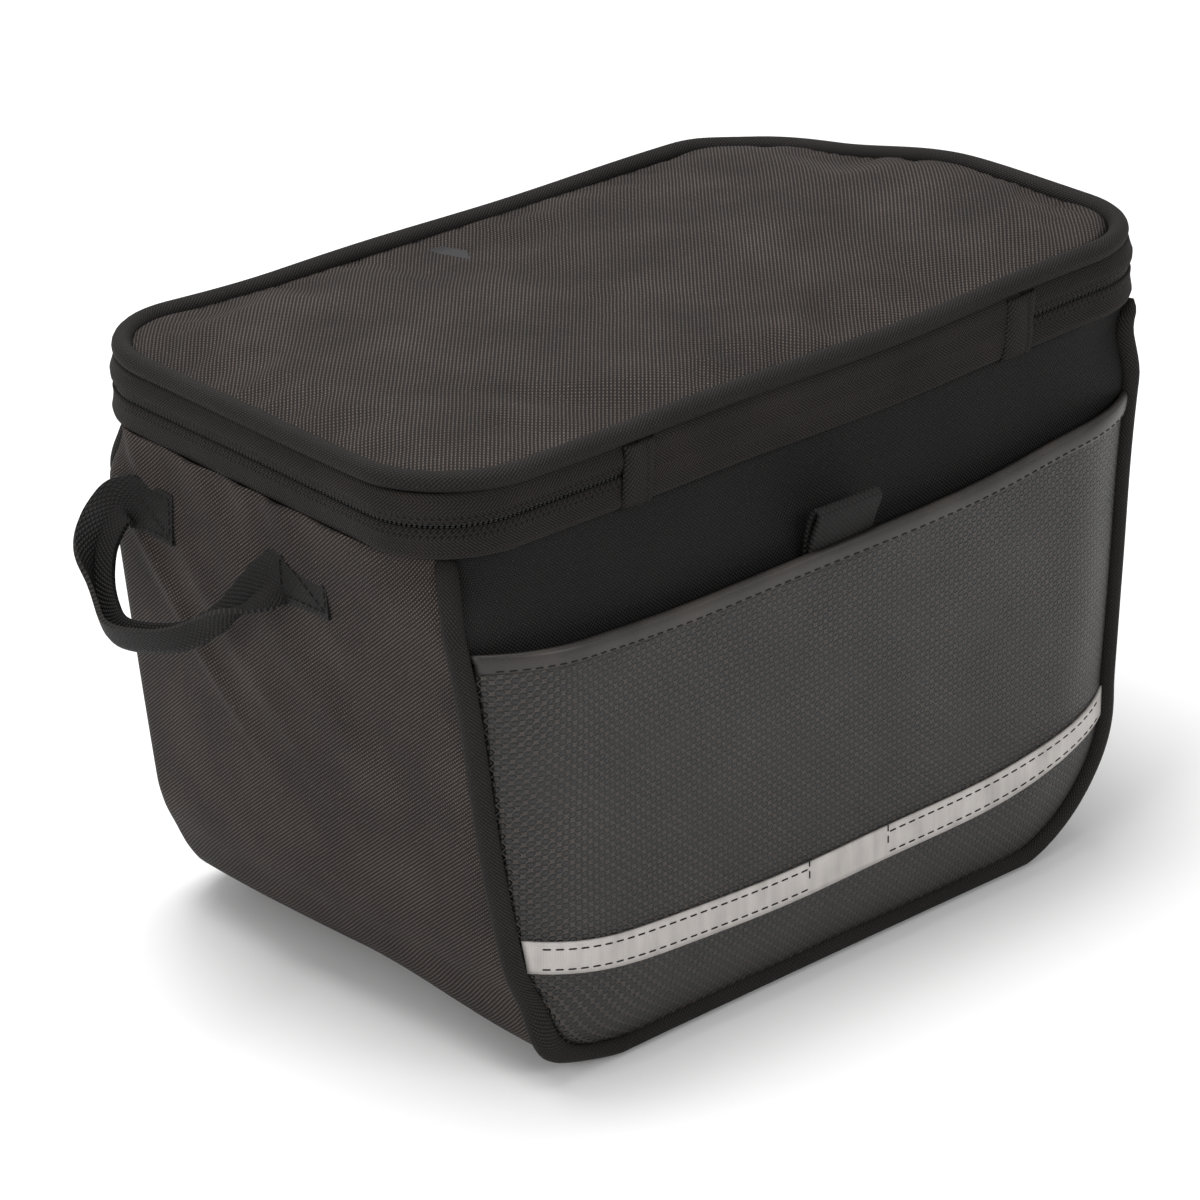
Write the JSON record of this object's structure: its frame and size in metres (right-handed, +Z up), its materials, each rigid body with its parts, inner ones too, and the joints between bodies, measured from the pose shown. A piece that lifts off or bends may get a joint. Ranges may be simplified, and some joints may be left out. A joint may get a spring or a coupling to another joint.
{
  "type": "bicycle handlebar bag",
  "caption": "Zipped handlebar bag with a forward-folding padded lid, outside pocket, side webbing loops and a hook adapter on the back.",
  "frame": {"origin": "middle of the flat bottom", "axes": "+Z up, -Y towards the bag's front, which faces away from the rider, +X to the rider's left when the bag is on the bicycle"},
  "size_m": [0.3054, 0.1946, 0.178],
  "materials": {
    "shell_fabric": "woven nylon twill, matt",
    "front_fabric": "dense dark twill, matt",
    "coated_pocket": "coated cloth embossed with small hexagons, satin",
    "edge_piping": "herringbone tape over cord, matt",
    "zip_tape": "herringbone zip tape, matt",
    "zip_teeth": "nylon coil, slight gloss",
    "webbing": "ribbed nylon webbing",
    "reflective_tape": "reflective cloth tape, satin",
    "lining": "thin smooth lining cloth",
    "stiffener": "sheet plastic",
    "adapter_plastic": "moulded, fine grain",
    "zip_metal": "black enamel, satin",
    "fastener_steel": "zinc plated"
  },
  "bodies": {
    "bag": {"gusset_shell": "shell_fabric", "gusset_lining": "lining", "base_board": "stiffener", "front_panel": "front_fabric", "front_lining": "lining", "front_pocket": "coated_pocket", "pocket_hem": "coated_pocket", "reflective_strip": "reflective_tape", "back_panel": "shell_fabric", "back_board": "stiffener", "back_lining": "lining", "front_piping": "edge_piping", "back_piping": "edge_piping", "zip_tape_lower": "zip_tape", "zip_teeth_lower": "zip_teeth", "hinge_band_lower": "zip_tape", "zip_end_tab_left": "shell_fabric", "zip_end_tab_right": "shell_fabric", "handle_patches_left": "webbing", "handle_patches_right": "webbing", "adapter_plate": "adapter_plastic", "backing_plate": "adapter_plastic", "adapter_screws": "fastener_steel", "adapter_nuts": "fastener_steel"},
    "lid": {"lid_panel": "shell_fabric", "lid_board": "stiffener", "lid_lining": "lining", "lid_piping": "edge_piping", "zip_tape_upper": "zip_tape", "zip_teeth_upper": "zip_teeth", "hinge_band_upper": "zip_tape"},
    "slider_left": {"zip_slider_left": "zip_metal"},
    "slider_right": {"zip_slider_right": "zip_metal"},
    "pull_left": {"zip_pull_left": "zip_metal"},
    "pull_right": {"zip_pull_right": "zip_metal"},
    "loop_left": {"handle_left": "webbing"},
    "loop_right": {"handle_right": "webbing"},
    "pocket_pull": {"pocket_tab": "webbing"}
  },
  "joints": [
    {"name": "lid_hinge", "type": "hinge", "parent": "bag", "child": "lid", "pos_m": [0, -0.081, 0.1636], "axis": [1, 0, 0], "range_deg": [0, 170]},
    {"name": "slider_left_slide", "type": "slide", "parent": "bag", "child": "slider_left", "axis": [-1, 0, 0], "range_m": [0, 0.085]},
    {"name": "slider_right_slide", "type": "slide", "parent": "bag", "child": "slider_right", "axis": [1, 0, 0], "range_m": [0, 0.085]},
    {"name": "pull_left_swing", "type": "hinge", "parent": "slider_left", "child": "pull_left", "pos_m": [-0.008, 0.0894, 0.1636], "axis": [1, 0, 0], "range_deg": [0, 150]},
    {"name": "pull_right_swing", "type": "hinge", "parent": "slider_right", "child": "pull_right", "pos_m": [0.008, 0.0894, 0.1636], "axis": [1, 0, 0], "range_deg": [0, 150]},
    {"name": "loop_left_lift", "type": "hinge", "parent": "bag", "child": "loop_left", "pos_m": [-0.12734, 0, 0.133], "axis": [0, 1, 0], "range_deg": [0, 65]},
    {"name": "loop_right_lift", "type": "hinge", "parent": "bag", "child": "loop_right", "pos_m": [0.12734, 0, 0.133], "axis": [0, -1, 0], "range_deg": [0, 65]},
    {"name": "pocket_tab_bend", "type": "hinge", "parent": "bag", "child": "pocket_pull", "pos_m": [0, -0.0865, 0.1294], "axis": [1, 0, 0], "range_deg": [-20, 50], "stiffness_Nm_per_rad": 0.003}
  ]
}
